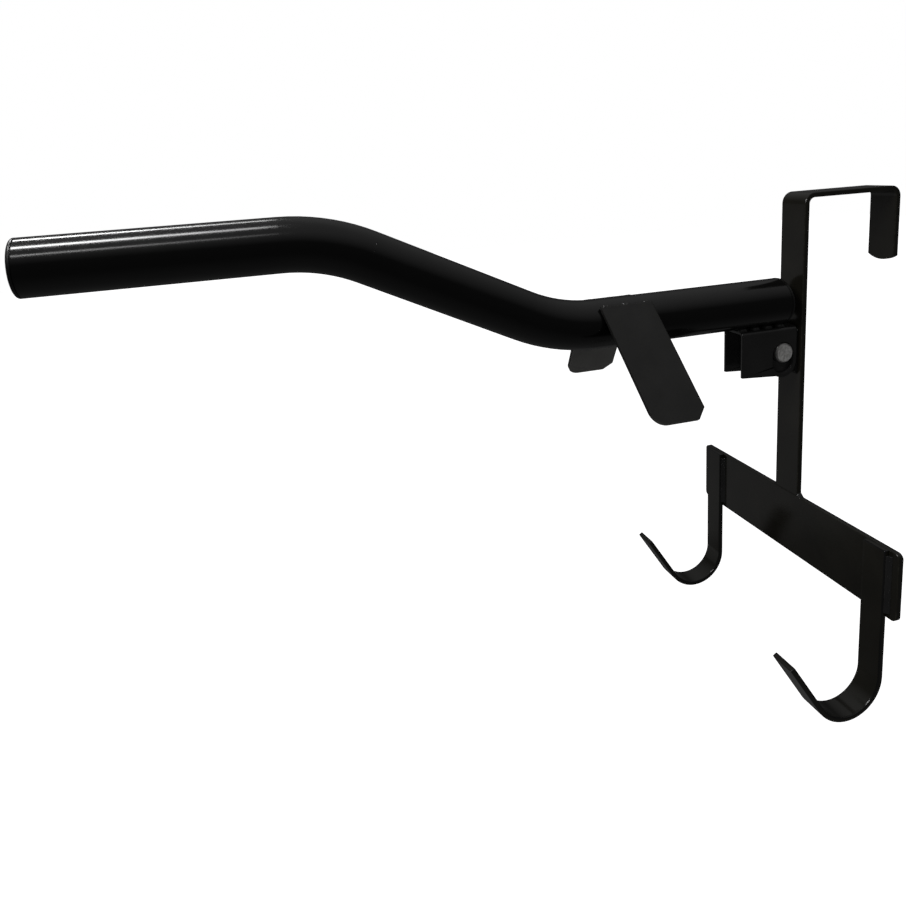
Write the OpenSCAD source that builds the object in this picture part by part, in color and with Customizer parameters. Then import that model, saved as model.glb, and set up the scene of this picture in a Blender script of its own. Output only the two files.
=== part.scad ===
// Over-door saddle rack: a flat-bar hanger with a crossbar and two bridle hooks carries a bent tube arm,
// which lifts on its pivot pin and folds down.
// Millimetres. +X points out from the door, +Y along it and +Z up.
// The origin is the middle of the hanger's underside, where it rests on top of the door.

/* [Door hanger] */
// gap between the stem and the rear drop, which takes the door
door_gap = 84; // [50:1:100]
// thickness of every flat bar
bar_t = 4; // [3:0.5:5]
// width of the hanger's bar
bar_w = 25; // [20:1:30]
// inside radius of the hanger's two bends
bend_in = 5; // [3:0.5:8]
// height of the stem, from the top of the door to the crossbar
stem_len = 251; // [200:1:300]
// height of the rear drop, from the top of the door to its rounded end
drop_len = 58; // [40:1:80]

/* [Crossbar and hooks] */
// length of the crossbar
cross_len = 220; // [160:1:280]
// height of the crossbar
cross_h = 53.5; // [40:0.5:60]
// corner radius of the crossbar
cross_r = 4; // [2:0.5:8]
// width of the hooks' bar
hook_w = 19; // [15:1:25]
// distance from a hook to the crossbar's end
hook_inset = 8; // [4:1:20]
// height of a hook's straight shank, from the crossbar's top
shank_len = 103; // [80:1:140]
// inside radius of a hook's curve
hook_r = 26; // [20:1:36]
// lean of a hook's outer arm from the vertical
hook_lean = 33; // [20:1:40]
// length of the outer arm, from the curve to its end
hook_arm = 49; // [30:1:60]

/* [Arm] */
// outside diameter of the tube
tube_d = 38; // [32:1:42]
// wall of the tube
tube_wall = 2; // [1.5:0.1:3]
// height of the tube's rear stretch below the top of the door
tube_drop = 83; // [70:1:100]
// gap between the stem and the rear end cap
rear_gap = 12; // [12:1:16]
// length of the tube's rear stretch
rear_len = 162; // [140:1:200]
// slope of the tube's middle stretch
rise_angle = 25.75; // [20:0.25:30]
// length of the middle stretch, between its two bends
rise_len = 125.5; // [80:0.5:160]
// length of the tube's front stretch
front_len = 157.5; // [120:0.5:220]
// radius of the tube's two bends, at its centre line
tube_bend = 134; // [100:1:160]
// thickness of an end cap's rim
cap_t = 3; // [2:0.5:5]

/* [Saddle wings] */
// width of a wing, along the arm
wing_w = 42; // [30:1:60]
// length of a wing below the point where it touches the tube
wing_len = 89; // [70:1:110]
// length of a wing above that point
wing_up = 4; // [4:1:10]
// thickness of a wing
wing_t = 3; // [2:0.5:4]
// slope of a wing below the horizontal
wing_slope = 53.5; // [45:0.5:60]
// lean of a wing's sides towards the door
wing_lean = 6.5; // [0:0.5:8]
// distance from the rear end cap to the wings
wing_start = 125; // [100:1:130]

/* [Pivot bracket] */
// distance of the pivot pin from the stem
pivot_out = 16.5; // [16:0.5:18]
// distance of the pivot pin below the tube's rear axis
pivot_down = 40.5; // [40:0.5:46]
// diameter of the pivot pin
pin_d = 16; // [12:0.5:16]
// height the arm lifts on the pin as it folds
lift = 8.5; // [8:0.5:9]
// length of the arm's channel
channel_len = 51; // [44:1:56]
// width of the arm's channel
channel_w = 23; // [20:0.5:25]
// wall of the arm's channel
channel_wall = 2.5; // [2:0.25:3]
// depth of the channel at its front end
channel_front = 38; // [36:0.5:42]

/* [Hidden] */
$fn = 96;
side_gap = 0.5; // clearance between the lug and each side of the channel
run_gap = 0.05; // running clearance of the pin in the lug, on the radius
slot_gap = 0.4; // clearance of the pin at either end of the slot
slot_play = 1.3; // clearance of the pin on either side of the slot
slot_wall = 3.7; // metal left around the lower end of the slot
pin_end = 2; // how far each end of the pin stands out of the channel
tube_gap = 0.4; // gap between the tube and the channel, which the beads bridge
stem_back = door_gap / 2;
stem_front = stem_back + bar_t;
cross_z = -stem_len;
hook_x = stem_front + bar_t / 2;
hook_z = cross_z - shank_len;
hook_mid = hook_r + bar_t / 2;
cap_x = stem_front + rear_gap;
tube_x = cap_x + cap_t;
tube_r = tube_d / 2;
bore_r = tube_r - tube_wall;
front_x = tube_x + rear_len + 2 * tube_bend * sin(rise_angle) + rise_len * cos(rise_angle) + front_len;
rise = 2 * tube_bend * (1 - cos(rise_angle)) + rise_len * sin(rise_angle);
wing_x = cap_x + wing_start;
pivot_x = stem_front + pivot_out;
pivot_z = -tube_drop - pivot_down;
pin_len = channel_w + 2 * pin_end;
slot_r = pin_d / 2 + slot_play;
slot_top = pivot_z + pin_d / 2 + slot_gap - slot_r;
slot_end = pivot_z - pin_d / 2 - lift - slot_gap + slot_r;
lobe_r = slot_r + slot_wall;
channel_top = -tube_drop - tube_r - tube_gap;
channel_x = pivot_x - lobe_r;
channel_bend = 4;
lug_w = channel_w - 2 * (channel_wall + side_gap);
lug_len = pivot_out + 18;
lug_up = 14;
lug_down = 18;
weld = 3; // leg of a fillet weld
bead_room = 20; // length that takes in any bead
lap = 0.4; // how far a bend runs into the straight stretches beside it
thin = 0.04; // how much thinner the metal is in a bend

steel = [0.05, 0.05, 0.055];
plastic = [0.03, 0.03, 0.03];
zinc = [0.72, 0.72, 0.7];

// ---- shared shapes ----

// A flat profile drawn in X and Z, given a width along Y and centred on it.
module along_y(width) {
    translate([0, width / 2, 0])
        rotate([90, 0, 0])
            linear_extrude(height = width)
                children();
}

// A flat profile drawn in Y and Z, given a length along +X.
module along_x(length) {
    rotate([90, 0, 90])
        linear_extrude(height = length)
            children();
}

// Turns a section about Y: its centre line leaves the origin along +X and turns up by the angle.
// The section runs a little into the stretches before and after it.
module turn(centre_r, angle) {
    lap_angle = lap / centre_r * 180 / PI;
    translate([0, 0, centre_r])
        rotate([90, 0, 0])
            rotate([0, 0, -90 - lap_angle])
                rotate_extrude(angle = angle + 2 * lap_angle)
                    translate([centre_r, 0])
                        children();
}

// A bend in a flat bar.
module bar_bend(centre_r, thick, width, angle) {
    turn(centre_r, angle)
        square([thick - thin, width - thin], center = true);
}

// A straight bar whose centre line leaves the origin along +X.
module bar(length, thick, width) {
    translate([0, -width / 2, -thick / 2])
        cube([length, width, thick]);
}

// A straight stretch of tube from the origin along +X.
module tube(length) {
    rotate([0, 90, 0])
        difference() {
            cylinder(h = length, r = tube_r);
            translate([0, 0, -1])
                cylinder(h = length + 2, r = bore_r);
        }
}

// A bend in the tube.
module tube_turn() {
    turn(tube_bend, rise_angle)
        difference() {
            circle(r = tube_r - thin / 2);
            circle(r = bore_r + thin / 2);
        }
}

// A rectangle with rounded corners, centred on the origin.
module round_rect(w, h, r) {
    square([w - 2 * r, h], center = true);
    square([w, h - 2 * r], center = true);
    for (x = [-1, 1], y = [-1, 1])
        translate([x * (w / 2 - r), y * (h / 2 - r)])
            circle(r = r);
}

// The section of a fillet weld in the corner between +X and +Y.
module fillet() {
    polygon([[0, 0], [weld, 0], [0, weld]]);
}

// A short weld bead along +Z: two round pools, one running into the other.
module bead(r) {
    pitch = 0.7 * r;
    for (i = [0, 1])
        translate([0, 0, r + i * pitch])
            sphere(r = r);
}

// Places its children at the tube's rear axis, measured from the origin along +X.
module at_tube(x) {
    translate([x, 0, -tube_drop])
        children();
}

// ---- hanger ----

module hanger_bar() {
    mid = bend_in + bar_t / 2;
    web_z = bar_t / 2;
    color(steel) {
        translate([stem_back + bar_t / 2, 0, -stem_len])
            rotate([0, -90, 0])
                bar(stem_len - bend_in, bar_t, bar_w);
        translate([-door_gap / 2 + bend_in, 0, web_z])
            bar(door_gap - 2 * bend_in, bar_t, bar_w);
        for (side = [0, 1])
            mirror([side, 0, 0])
                translate([stem_back - bend_in, 0, web_z])
                    mirror([0, 0, 1])
                        bar_bend(mid, bar_t, bar_w, 90);
        rear_drop();
    }
}

// The drop behind the door, with its rounded lower end.
module rear_drop() {
    end_r = bar_w * 0.86;
    translate([-stem_front, 0, 0])
        intersection() {
            translate([0, -bar_w / 2, -drop_len])
                cube([bar_t, bar_w, drop_len - bend_in]);
            union() {
                translate([-1, 0, end_r - drop_len])
                    rotate([0, 90, 0])
                        cylinder(h = bar_t + 2, r = end_r);
                translate([-1, -bar_w, end_r - drop_len])
                    cube([bar_t + 2, 2 * bar_w, drop_len]);
            }
        }
}

module crossbar() {
    color(steel)
        translate([stem_back, 0, cross_z - cross_h / 2])
            along_x(bar_t)
                round_rect(cross_len, cross_h, cross_r);
}

// Fillets in the two corners between the stem's foot and the crossbar.
module stem_weld() {
    color(steel)
        for (side = [0, 1])
            mirror([0, side, 0])
                translate([stem_back, bar_w / 2, cross_z])
                    along_x(bar_t)
                        fillet();
}

// ---- hooks ----

// One hook on the middle plane: a shank, a curve and an outer arm that leans out.
module hook() {
    color(steel)
        translate([hook_x, 0, cross_z])
            rotate([0, 90, 0]) {
                bar(shank_len, bar_t, hook_w);
                translate([shank_len, 0, 0]) {
                    bar_bend(hook_mid, bar_t, hook_w, 180 - hook_lean);
                    translate([hook_mid * sin(hook_lean), 0, hook_mid * (1 + cos(hook_lean))])
                        rotate([0, hook_lean - 180, 0])
                            bar(hook_arm, bar_t, hook_w);
                }
            }
}

// The distance of a hook's middle from the rack's middle.
function hook_y() = cross_len / 2 - hook_inset - hook_w / 2;

module left_hook() {
    translate([0, -hook_y(), 0])
        hook();
}

module right_hook() {
    translate([0, hook_y(), 0])
        hook();
}

// Upright fillets down both sides of a shank.
module hook_weld() {
    bead_len = cross_h - 2 * cross_r;
    color(steel)
        for (side = [0, 1])
            mirror([0, side, 0])
                translate([stem_front, hook_w / 2, cross_z - cross_h + cross_r])
                    linear_extrude(height = bead_len)
                        fillet();
}

module left_hook_weld() {
    translate([0, -hook_y(), 0])
        hook_weld();
}

module right_hook_weld() {
    translate([0, hook_y(), 0])
        hook_weld();
}

// ---- pivot bracket on the stem ----

module pivot_lug() {
    round_r = 5;
    color(steel)
        along_y(lug_w)
            difference() {
                union() {
                    translate([stem_front, pivot_z - lug_down])
                        square([lug_len - round_r, lug_up + lug_down]);
                    translate([stem_front, pivot_z - lug_down + round_r])
                        square([lug_len, lug_up + lug_down - 2 * round_r]);
                    for (z = [pivot_z - lug_down + round_r, pivot_z + lug_up - round_r])
                        translate([stem_front + lug_len - round_r, z])
                            circle(r = round_r);
                }
                translate([pivot_x, pivot_z])
                    circle(r = pin_d / 2 + run_gap);
            }
}

// Fillets above and below the lug, across its width.
module lug_weld() {
    color(steel) {
        translate([stem_front, 0, pivot_z + lug_up])
            along_y(lug_w)
                fillet();
        translate([stem_front, 0, pivot_z - lug_down])
            mirror([0, 0, 1])
                along_y(lug_w)
                    fillet();
    }
}

// The pin lies across the rack and has bevelled ends.
module pivot_pin() {
    bevel = 1;
    color(zinc)
        translate([pivot_x, -pin_len / 2, pivot_z])
            rotate([-90, 0, 0]) {
                cylinder(h = bevel, r1 = pin_d / 2 - bevel, r2 = pin_d / 2);
                translate([0, 0, bevel])
                    cylinder(h = pin_len - 2 * bevel, r = pin_d / 2);
                translate([0, 0, pin_len - bevel])
                    cylinder(h = bevel, r1 = pin_d / 2, r2 = pin_d / 2 - bevel);
            }
}

// ---- arm ----

module arm_tube() {
    turn_x = tube_bend * sin(rise_angle);
    turn_z = tube_bend * (1 - cos(rise_angle));
    color(steel)
        at_tube(tube_x) {
            tube(rear_len);
            translate([rear_len, 0, 0]) {
                tube_turn();
                translate([turn_x, 0, turn_z])
                    rotate([0, -rise_angle, 0]) {
                        tube(rise_len);
                        translate([rise_len, 0, 0])
                            mirror([0, 0, 1])
                                tube_turn();
                    }
            }
            translate([front_x - tube_x - front_len, 0, rise])
                tube(front_len);
        }
}

// A plug with a rounded rim, which stands in front of the origin and reaches back into the tube.
// A narrow groove parts the rim from the tube's end.
module end_cap() {
    plug_len = 12;
    round_r = 1.5;
    seam = 0.6;
    color(plastic)
        rotate([0, 90, 0])
            rotate_extrude() {
                translate([0, -plug_len])
                    square([bore_r - 0.05, plug_len]);
                square([tube_r - seam, cap_t - round_r]);
                translate([0, seam])
                    square([tube_r, cap_t - round_r - seam]);
                square([tube_r - round_r, cap_t]);
                translate([tube_r - round_r, cap_t - round_r])
                    circle(r = round_r);
            }
}

module front_end_cap() {
    translate([front_x, 0, rise - tube_drop])
        end_cap();
}

module rear_end_cap() {
    at_tube(tube_x)
        mirror([1, 0, 0])
            end_cap();
}

// The channel's section: a web under the tube and two legs, with rounded bends.
module channel_section() {
    inner_r = channel_bend - channel_wall;
    inner_w = channel_w - 2 * channel_wall;
    depth = 60;
    difference() {
        translate([0, channel_top - depth / 2])
            round_rect(channel_w, depth, channel_bend);
        translate([0, channel_top - channel_wall - depth / 2])
            round_rect(inner_w, depth, inner_r);
    }
}

// The space that the channel fills from the side: it is rounded about the lower end of the slot.
module channel_side() {
    front_edge = channel_x + channel_len;
    along_y(channel_w + 2)
        polygon([
            [channel_x, channel_top + 1],
            [front_edge, channel_top + 1],
            [front_edge, channel_top - channel_front],
            [pivot_x, slot_end - lobe_r + 1],
            [pivot_x, slot_end - lap],
            [channel_x, slot_end - lap]
        ]);
    translate([pivot_x, 0, slot_end])
        along_y(channel_w + 2)
            circle(r = lobe_r - thin / 2);
}

// The upright slot in both legs.
module slot() {
    for (z = [slot_top, slot_end])
        translate([pivot_x, z])
            circle(r = slot_r);
    translate([pivot_x - slot_r, slot_end])
        square([2 * slot_r, slot_top - slot_end]);
}

module arm_channel() {
    color(steel)
        difference() {
            intersection() {
                translate([channel_x - 5, 0, 0])
                    along_x(channel_len + 10)
                        channel_section();
                channel_side();
            }
            along_y(channel_w + 10)
                slot();
        }
}

// Short beads between the tube and one shoulder of the channel.
module channel_weld() {
    bead_r = 2.8;
    bead_y = channel_w / 2 - channel_bend;
    web_depth = 20;
    color(steel)
        for (i = [0 : 3])
            at_tube(cap_x + 1 + i * (channel_len - 16) / 3)
                rotate([90, 0, 90])
                    difference() {
                        translate([bead_y, -tube_r, 0])
                            bead(bead_r);
                        translate([0, 0, -1])
                            cylinder(h = bead_room, r = tube_r);
                        translate([-channel_w / 2, -tube_r - tube_gap - web_depth, -1])
                            cube([channel_w, web_depth, bead_room]);
                    }
}

module left_channel_weld() {
    mirror([0, 1, 0])
        channel_weld();
}

module right_channel_weld() {
    channel_weld();
}

// ---- saddle wings ----

// Places its children in the tube's section, where a wing touches it: +X runs down the wing and +Y out
// of the tube.
module at_wing() {
    rotate([0, 0, -wing_slope])
        translate([0, tube_r])
            children();
}

// How far a wing's sides have moved towards the door at a length down the wing.
function lean_x(down) = -down * tan(wing_lean);

// A flat plate along the right side of the tube: its front lower corner is rounded, its rear one cut off.
module wing() {
    round_r = 12;
    cut = 8;
    round_s = wing_len - round_r;
    round_x = wing_w + lean_x(round_s) - round_r / cos(wing_lean);
    color(steel)
        at_tube(wing_x)
            rotate([-wing_slope, 0, 0])
                translate([0, 0, tube_r])
                    linear_extrude(height = wing_t) {
                        polygon([
                            [lean_x(-wing_up), -wing_up],
                            [wing_w + lean_x(-wing_up), -wing_up],
                            [round_x + round_r * cos(wing_lean), round_s + round_r * sin(wing_lean)],
                            [round_x, round_s],
                            [round_x, wing_len],
                            [lean_x(wing_len) + cut, wing_len],
                            [lean_x(wing_len - cut), wing_len - cut]
                        ]);
                        translate([round_x, round_s])
                            circle(r = round_r - thin / 2);
                    }
}

module right_wing() {
    wing();
}

module left_wing() {
    mirror([0, 1, 0])
        wing();
}

// Short beads between the tube and a wing's upper edge.
module wing_weld() {
    bead_r = 2.4;
    last = wing_w - 9;
    color(steel)
        for (i = [0 : 2])
            at_tube(wing_x + 1 + i * last / 2)
                rotate([90, 0, 90])
                    difference() {
                        at_wing()
                            translate([-wing_up, 0, 0])
                                bead(bead_r);
                        translate([0, 0, -1])
                            cylinder(h = bead_room, r = tube_r);
                        at_wing()
                            translate([-wing_up, 0, -1])
                                cube([wing_up + 10, wing_t + 2, bead_room]);
                    }
}

module right_wing_weld() {
    wing_weld();
}

module left_wing_weld() {
    mirror([0, 1, 0])
        wing_weld();
}

hanger_bar();
crossbar();
stem_weld();
left_hook();
right_hook();
left_hook_weld();
right_hook_weld();
pivot_lug();
lug_weld();
pivot_pin();
arm_tube();
front_end_cap();
rear_end_cap();
arm_channel();
left_channel_weld();
right_channel_weld();
left_wing();
right_wing();
left_wing_weld();
right_wing_weld();
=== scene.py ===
import math

import bpy
from mathutils import Matrix, Vector


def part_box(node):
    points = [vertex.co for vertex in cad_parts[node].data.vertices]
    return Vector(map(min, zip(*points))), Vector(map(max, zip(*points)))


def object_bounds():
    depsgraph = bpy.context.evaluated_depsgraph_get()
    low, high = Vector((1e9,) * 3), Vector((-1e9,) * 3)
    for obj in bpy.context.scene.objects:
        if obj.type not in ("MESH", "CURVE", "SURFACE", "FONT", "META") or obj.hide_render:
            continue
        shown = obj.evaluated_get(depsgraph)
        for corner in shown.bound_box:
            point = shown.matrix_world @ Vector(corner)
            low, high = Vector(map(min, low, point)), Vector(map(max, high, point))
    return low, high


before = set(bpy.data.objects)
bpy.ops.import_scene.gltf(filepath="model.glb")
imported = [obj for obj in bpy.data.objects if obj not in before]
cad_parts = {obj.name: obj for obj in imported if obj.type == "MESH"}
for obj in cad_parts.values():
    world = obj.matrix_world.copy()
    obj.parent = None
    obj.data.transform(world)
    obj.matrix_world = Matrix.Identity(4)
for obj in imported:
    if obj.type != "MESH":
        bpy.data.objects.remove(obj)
cad_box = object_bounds()

MM = 0.001

# Nodes that share a finish
FLAT_BARS = ("hanger_bar", "crossbar", "left_hook", "right_hook")
WINGS = ("left_wing", "right_wing")
BRACKET = ("arm_channel", "pivot_lug")
END_CAPS = ("front_end_cap", "rear_end_cap")


# ---- camera ----

CAMERA_PLACE = (0.4721, 0.4833, 0.0464)
CAMERA_YAW = 76.4  # from looking straight at the door
CAMERA_PITCH = 9.9  # downwards
CAMERA_ROLL = -3.7
SENSOR = 36  # millimetres
LENS = 28.26  # millimetres
SHIFT_X = 0.0326
SHIFT_Y = -0.1833
CLIP_START = 0.01


def camera_matrix():
    yaw = math.radians(CAMERA_YAW)
    pitch = math.radians(CAMERA_PITCH)
    roll = math.radians(CAMERA_ROLL)
    ahead = Vector((-math.cos(pitch) * math.cos(yaw), -math.cos(pitch) * math.sin(yaw), -math.sin(pitch)))
    level_right = ahead.cross(Vector((0, 0, 1))).normalized()
    level_up = level_right.cross(ahead)
    right = math.cos(roll) * level_right + math.sin(roll) * level_up
    up = -math.sin(roll) * level_right + math.cos(roll) * level_up
    turn = Matrix((right, up, -ahead)).transposed().to_4x4()
    return Matrix.Translation(CAMERA_PLACE) @ turn


def add_camera():
    data = bpy.data.cameras.new("camera")
    data.sensor_width = SENSOR
    data.lens = LENS
    data.shift_x = SHIFT_X
    data.shift_y = SHIFT_Y
    data.clip_start = CLIP_START
    camera = bpy.data.objects.new("camera", data)
    camera.matrix_world = camera_matrix()
    bpy.context.scene.collection.objects.link(camera)
    bpy.context.scene.camera = camera


# ---- nodes of a material ----

# Gives inputs of a node their values, by name or number. A socket is linked, and a plain value is set.
def plug(tree, node, inputs):
    for name, value in inputs.items():
        if isinstance(value, bpy.types.NodeSocket):
            tree.links.new(value, node.inputs[name])
        else:
            node.inputs[name].default_value = value


# Adds a node to a tree, with its settings and then its inputs.
def add(tree, kind, inputs=None, **settings):
    made = tree.nodes.new(kind)
    for name, value in settings.items():
        setattr(made, name, value)
    plug(tree, made, inputs or {})
    return made


# Noise in the node's own coordinates, from 0 to 1. A grain is its size in metres along each axis.
def noise(tree, grain, detail):
    place = add(tree, "ShaderNodeTexCoord").outputs["Object"]
    scale = [1 / size for size in grain]
    mapped = add(tree, "ShaderNodeMapping", {"Vector": place, "Scale": scale}).outputs["Vector"]
    return add(tree, "ShaderNodeTexNoise", {"Vector": mapped, "Scale": 1.0, "Detail": detail}).outputs["Fac"]


# Noise with the same grain along all three axes.
def even_noise(tree, size, detail):
    return noise(tree, (size, size, size), detail)


# Stretches a value from one range to another.
def spread(tree, value, low, high, to_low, to_high):
    inputs = {"Value": value, "From Min": low, "From Max": high, "To Min": to_low, "To Max": to_high}
    return add(tree, "ShaderNodeMapRange", inputs).outputs["Result"]


# Stretches noise, which lies mostly between 0.3 and 0.7, to a range.
def vary(tree, value, to_low, to_high):
    return spread(tree, value, 0.3, 0.7, to_low, to_high)


def maths(tree, operation, first, second):
    return add(tree, "ShaderNodeMath", {0: first, 1: second}, operation=operation).outputs[0]


# A grey, with more red and less blue in it where it is warm.
def grey(level, warm=0.0):
    return (level * (1 + 0.3 * warm), level, level * (1 - warm), 1)


# Mixes two colours by a factor. The node keeps its colour inputs in places 6 and 7, and its colour output
# in place 2.
def blend(tree, factor, first, second):
    return add(tree, "ShaderNodeMix", {0: factor, 6: first, 7: second}, data_type="RGBA").outputs[2]


# The normal with its edges rounded, and a mask that is 1 at the edges and 0 on the flats.
def rounded(tree, radius):
    soft = add(tree, "ShaderNodeBevel", {"Radius": radius}, samples=6).outputs["Normal"]
    sharp = add(tree, "ShaderNodeNewGeometry").outputs["Normal"]
    dot = add(tree, "ShaderNodeVectorMath", {0: soft, 1: sharp}, operation="DOT_PRODUCT")
    return soft, spread(tree, dot.outputs["Value"], 0.995, 0.85, 0.0, 1.0)


# A normal with bumps on it.
def bumped(tree, height, distance, strength, normal):
    inputs = {"Height": height, "Distance": distance, "Strength": strength, "Normal": normal}
    return add(tree, "ShaderNodeBump", inputs).outputs["Normal"]


def new_material(name):
    material = bpy.data.materials.new(name)
    material.use_nodes = True
    return material, material.node_tree, material.node_tree.nodes["Principled BSDF"]


# ---- finishes ----

COAT_IOR = 1.5  # of powder coat and of plastic
EDGE_PALER = 0.012  # how much paler a worn edge is, partly as a painted edge highlight
EDGE_SMOOTHER = 0.6  # share of its roughness that a worn edge loses


# Black powder coat: cloudy colour, orange peel, and a thinner, smoother coat along the edges, paler there in
# patches, partly from wear and partly as a painted edge highlight. Peel is the size of the orange peel's
# bumps, and depth is their height.
def powder_coat(name, level, roughness, peel=1.6 * MM, depth=0.004 * MM, edge=0.5 * MM, warm=0.0):
    material, tree, shader = new_material(name)
    soft, edges = rounded(tree, edge)
    clouds = vary(tree, even_noise(tree, 30 * MM, 4.0), 0.0, 1.0)
    scuffs = spread(tree, noise(tree, (2.5 * MM, 2.5 * MM, 6 * MM), 3.0), 0.4, 0.65, 0.3, 1.0)
    # Edges paler in patches: partly wear, partly a painted edge highlight.
    edge_wear_and_sheen = maths(tree, "MULTIPLY", edges, scuffs)
    flats = vary(tree, even_noise(tree, 9 * MM, 5.0), roughness * 0.88, roughness * 1.12)
    smoother = maths(tree, "MULTIPLY", edge_wear_and_sheen, roughness * EDGE_SMOOTHER)
    shade = blend(tree, clouds, grey(level * 0.8, warm), grey(level * 1.25, warm))
    plug(tree, shader, {
        "Base Color": blend(tree, edge_wear_and_sheen, shade, grey(level + EDGE_PALER, warm)),
        "Roughness": maths(tree, "SUBTRACT", flats, smoother),
        "Normal": bumped(tree, even_noise(tree, peel, 1.0), depth, 1.0, soft),
        "IOR": COAT_IOR,
    })
    return material


# Powder coat over the ripples of a weld bead.
def weld_coat():
    material = powder_coat("coated_weld", 0.006, 0.14)
    tree = material.node_tree
    shader = tree.nodes["Principled BSDF"]
    ripple = noise(tree, (1.1 * MM, 4 * MM, 1.1 * MM), 2.0)
    below = shader.inputs["Normal"].links[0].from_socket
    plug(tree, shader, {"Normal": bumped(tree, ripple, 0.25 * MM, 0.8, below)})
    return material


# Moulded black plastic: a fine even grain, and a slightly paler rim, which is a painted highlight.
def black_plastic():
    material, tree, shader = new_material("black_plastic")
    soft, edges = rounded(tree, 0.4 * MM)
    clouds = even_noise(tree, 8 * MM, 3.0)
    shade = blend(tree, clouds, grey(0.005), grey(0.01))
    grain = even_noise(tree, 0.35 * MM, 2.0)
    plug(tree, shader, {
        # The paler rim is a painted highlight.
        "Base Color": blend(tree, edges, shade, grey(0.014)),
        "Roughness": vary(tree, clouds, 0.32, 0.4),
        "Normal": bumped(tree, grain, 0.01 * MM, 0.7, soft),
        "IOR": COAT_IOR,
    })
    return material


# Turned rings round the middle of a node that lies along Y.
def turned_rings(tree, node, spacing):
    low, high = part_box(node)
    to_middle = [-(a + b) / 2 for a, b in zip(low, high)]
    place = add(tree, "ShaderNodeTexCoord").outputs["Object"]
    centred = add(tree, "ShaderNodeMapping", {"Vector": place, "Location": to_middle}).outputs["Vector"]
    inputs = {"Vector": centred, "Scale": 1 / spacing, "Distortion": 1.5, "Detail": 2.0}
    return add(tree, "ShaderNodeTexWave", inputs, wave_type="RINGS", rings_direction="Y").outputs["Fac"]


# Zinc plate over turned steel: rings on the ends, scratches across them, and brighter bevels, which are
# painted glints.
def zinc_plate():
    material, tree, shader = new_material("zinc")
    soft, edges = rounded(tree, 0.3 * MM)
    rings = turned_rings(tree, "pivot_pin", 5 * MM)
    patches = spread(tree, even_noise(tree, 2 * MM, 4.0), 0.35, 0.65, 0.0, 1.0)
    scratches = noise(tree, (4 * MM, 4 * MM, 0.3 * MM), 3.0)
    shade = blend(tree, patches, grey(0.28, 0.03), grey(0.5, 0.02))
    grooves = maths(tree, "ADD", rings, scratches)
    plug(tree, shader, {
        # The brighter bevels are painted glints.
        "Base Color": blend(tree, edges, shade, grey(0.75)),
        "Roughness": vary(tree, scratches, 0.28, 0.48),
        "Normal": bumped(tree, grooves, 0.02 * MM, 0.6, soft),
        "Metallic": 0.75,
    })
    return material


# Gives every node its finish, by the kind of piece it is. What no kind names is a weld.
def finish_nodes():
    bars = powder_coat("black_steel_bar", 0.005, 0.17, edge=1.6 * MM, warm=0.25)
    tube = powder_coat("black_steel_tube", 0.0025, 0.16, peel=2.5 * MM, depth=0.003 * MM)
    wings = powder_coat("black_steel_wing", 0.0105, 0.42, peel=0.7 * MM, depth=0.01 * MM, edge=1.6 * MM,
                        warm=0.04)
    bracket = powder_coat("black_steel_bracket", 0.008, 0.2, edge=1.2 * MM)
    welds = weld_coat()
    kinds = (
        (bars, FLAT_BARS),
        (tube, ("arm_tube",)),
        (wings, WINGS),
        (bracket, BRACKET),
        (black_plastic(), END_CAPS),
        (zinc_plate(), ("pivot_pin",)),
    )
    finishes = {name: material for material, names in kinds for name in names}
    for name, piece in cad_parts.items():
        piece.data.materials.clear()
        piece.data.materials.append(finishes.get(name, welds))


# ---- rounded edges ----

EDGE_RADII = ((0.9 * MM, FLAT_BARS + WINGS), (0.5 * MM, BRACKET))
EDGE_ANGLE = 40  # sharper turns than this are rounded
EDGE_SEGMENTS = 3
JOIN_DISTANCE = 0.06 * MM


# Rounds one piece's edges, and gives them the material in its second slot. The faces come apart, so they
# are joined first. The last modifier keeps the flats flat in the shading.
def round_piece(piece, radius):
    join = piece.modifiers.new("joined_faces", "WELD")
    join.merge_threshold = JOIN_DISTANCE
    bevel = piece.modifiers.new("rounded_edges", "BEVEL")
    bevel.width = radius
    bevel.segments = EDGE_SEGMENTS
    bevel.limit_method = "ANGLE"
    bevel.angle_limit = math.radians(EDGE_ANGLE)
    bevel.material = 1
    flats = piece.modifiers.new("flat_faces", "WEIGHTED_NORMAL")
    flats.mode = "FACE_AREA"
    flats.weight = 100


# Rounds the cut edges of the bars and plates, where the coat is thinner and shines more.
def round_edges():
    edge_coat = powder_coat("black_steel_edge", 0.003, 0.13, peel=3 * MM)
    for radius, names in EDGE_RADII:
        for name in names:
            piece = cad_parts[name]
            piece.data.materials.append(edge_coat)
            round_piece(piece, radius)


# ---- studio ----

FLOOR_DROP = 0.42  # from the rack's lowest point
FLOOR_REACH = 6  # from the origin to each edge


# A white floor that gives off its own light, so that no shadow shows on it. Reflections don't show it.
def add_floor():
    low = cad_box[0][2] - FLOOR_DROP
    sides = ((-1, -1), (1, -1), (1, 1), (-1, 1))
    corners = [(x * FLOOR_REACH, y * FLOOR_REACH, low) for x, y in sides]
    mesh = bpy.data.meshes.new("floor")
    mesh.from_pydata(corners, [], [(0, 1, 2, 3)])
    material, tree, shader = new_material("pale_floor")
    plug(tree, shader, {
        "Base Color": grey(0.9),
        "Roughness": 0.9,
        "Emission Color": grey(1.0),
        "Emission Strength": 1.0,
    })
    mesh.materials.append(material)
    floor = bpy.data.objects.new("floor", mesh)
    floor.visible_glossy = False
    floor.visible_diffuse = False
    bpy.context.scene.collection.objects.link(floor)


ROOM_LEVEL = 0.045
CEILING_LEVEL = 0.3
FLOOR_LEVEL = 0.04


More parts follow.
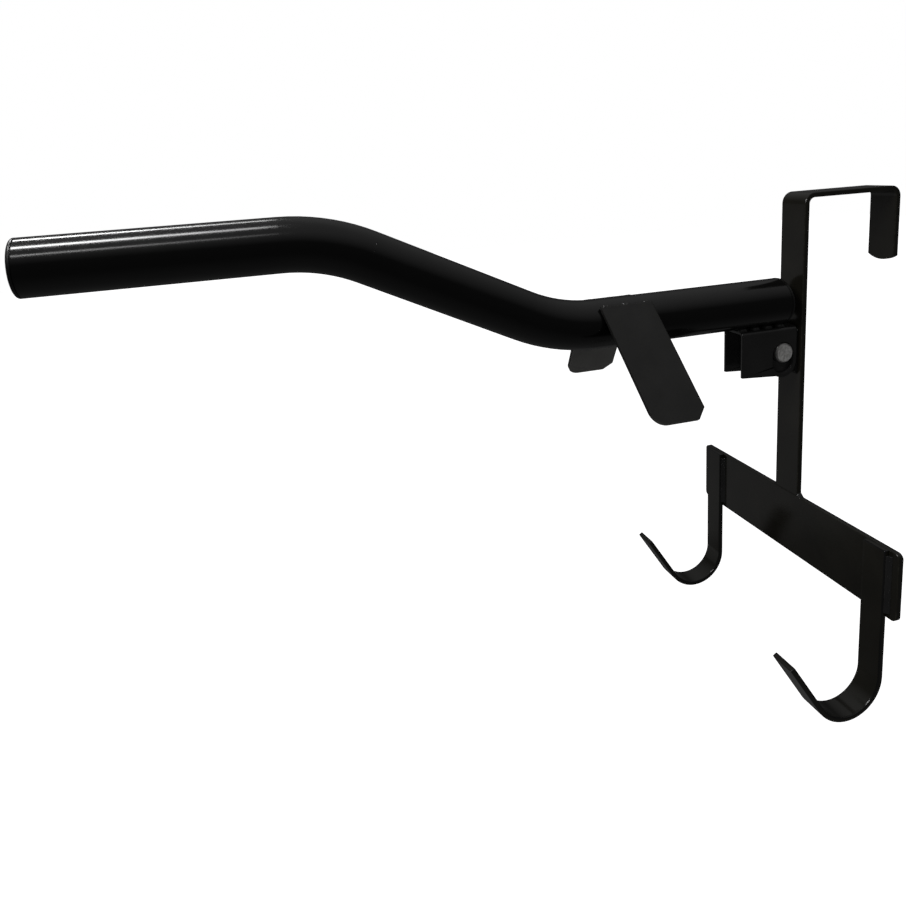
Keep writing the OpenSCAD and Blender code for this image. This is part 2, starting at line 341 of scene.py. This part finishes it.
# White behind the rack. Reflections show a dim room with a brighter ceiling and a faint glow from below.
def add_world():
    world = bpy.data.worlds.new("studio")
    world.use_nodes = True
    tree = world.node_tree
    tree.nodes.clear()
    direction = add(tree, "ShaderNodeTexCoord").outputs["Generated"]
    upward = add(tree, "ShaderNodeSeparateXYZ", {"Vector": direction}).outputs["Z"]
    above = spread(tree, upward, 0.3, 0.85, ROOM_LEVEL, CEILING_LEVEL)
    below = spread(tree, upward, -0.5, -1.0, 0.0, FLOOR_LEVEL)
    level = maths(tree, "ADD", above, below)
    white = add(tree, "ShaderNodeBackground", {"Color": grey(1.0), "Strength": 1.0}).outputs["Background"]
    room = add(tree, "ShaderNodeBackground", {"Color": grey(1.0), "Strength": level}).outputs["Background"]
    seen = add(tree, "ShaderNodeLightPath").outputs["Is Camera Ray"]
    mix = add(tree, "ShaderNodeMixShader", {0: seen, 1: room, 2: white})
    add(tree, "ShaderNodeOutputWorld", {"Surface": mix.outputs["Shader"]})
    bpy.context.scene.world = world


# A rectangular light facing a target, whose width lies along the rack. Its power grows with its area, so
# that its brightness in a reflection stays the same.
def add_softbox(name, place, target, width, height, radiance):
    data = bpy.data.lights.new(name, "AREA")
    data.shape = "RECTANGLE"
    data.size = width
    data.size_y = height
    data.energy = radiance * math.pi * width * height
    lamp = bpy.data.objects.new(name, data)
    ahead = (Vector(target) - Vector(place)).normalized()
    across = Vector((1, 0, 0))
    across = (across - across.dot(ahead) * ahead).normalized()
    up = ahead.cross(across)
    lamp.matrix_world = Matrix.Translation(place) @ Matrix((across, -up, -ahead)).transposed().to_4x4()
    lamp.visible_camera = False
    bpy.context.scene.collection.objects.link(lamp)
    return lamp


# Lets a light reach the named nodes alone.
def light_only(lamp, names):
    lit = bpy.data.collections.new(lamp.name + "_lights")
    for name in names:
        lit.objects.link(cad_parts[name])
    lamp.light_linking.receiver_collection = lit


STRIP_DISTANCE = 1.5
STRIP_STEP = 0.01  # each length is this much nearer than the last, because level ones hide each other
STRIP_OVERHANG = 0.56  # past the front cap's inner end
# name, degrees above the horizon, side, width in degrees, radiance
STRIPS = (("near_low", 52, 1, 4, 8), ("near_high", 87, 1, 8, 30), ("far", 49, -1, 6, 25))
# length, and share of the radiance
STRIP_LENGTHS = ((0.75, 0.3), (0.58, 0.2), (0.44, 0.25), (0.32, 0.25))


# Long strips beside the arm's outer stretch, which draw the streaks along it and the glints on the welds.
# Each is built of overlapping lengths, so that its streak fades towards the bend.
def add_strips():
    low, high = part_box("front_end_cap")
    end = low[0] + STRIP_OVERHANG
    axis_z = (low[2] + high[2]) / 2
    welds = [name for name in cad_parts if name.endswith("_weld")]
    for name, elevation, side, degrees, radiance in STRIPS:
        tilt = math.radians(elevation)
        outward = Vector((0, side * math.cos(tilt), math.sin(tilt)))
        width = STRIP_DISTANCE * math.radians(degrees)
        for i, (length, share) in enumerate(STRIP_LENGTHS):
            target = Vector((end - length / 2, 0, axis_z))
            place = target + (STRIP_DISTANCE - i * STRIP_STEP) * outward
            strip = add_softbox(f"{name}_strip_{i}", place, target, length, width, share * radiance)
            light_only(strip, ["arm_tube", "front_end_cap", *welds])


# Square lights aimed at the channel, for the pieces that the strips leave dark. A high one off the arm's
# open end and a weak low one on the far side reach the bars, the bracket and their welds. A broad one in
# front reaches those and the wings. The last two are for the wings, from below, and for the pin's end.
def add_fills():
    aim = Vector(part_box("arm_channel")[0])
    smooth = ("arm_tube", "pivot_pin", *END_CAPS)
    dull = [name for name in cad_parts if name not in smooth]
    wingless = [name for name in dull if "wing" not in name]
    # name, direction from the channel, distance, size, radiance, what it lights, shown in reflections
    fills = (
        ("edge_light", (0.72, 0.25, 0.6), 1.3, 0.4, 22, wingless, True),
        ("front_fill", (0.7, 0.65, 0.1), 1.3, 0.8, 3, dull, False),
        ("far_fill", (0.52, -0.8, -0.3), 1.3, 0.8, 0.11, wingless, True),
        ("wing_fill", (0.1, 0.65, -0.75), 0.8, 0.5, 20, WINGS, False),
        ("pin_fill", (-0.45, 0.85, -0.2), 1.3, 0.6, 0.58, ("pivot_pin",), True),
    )
    for name, direction, distance, size, radiance, lit, mirrored in fills:
        place = aim + distance * Vector(direction).normalized()
        lamp = add_softbox(name, place, aim, size, size, radiance)
        lamp.visible_glossy = mirrored
        light_only(lamp, lit)


bpy.context.scene.view_settings.view_transform = "Standard"
finish_nodes()
round_edges()
add_world()
add_floor()
add_strips()
add_fills()
add_camera()
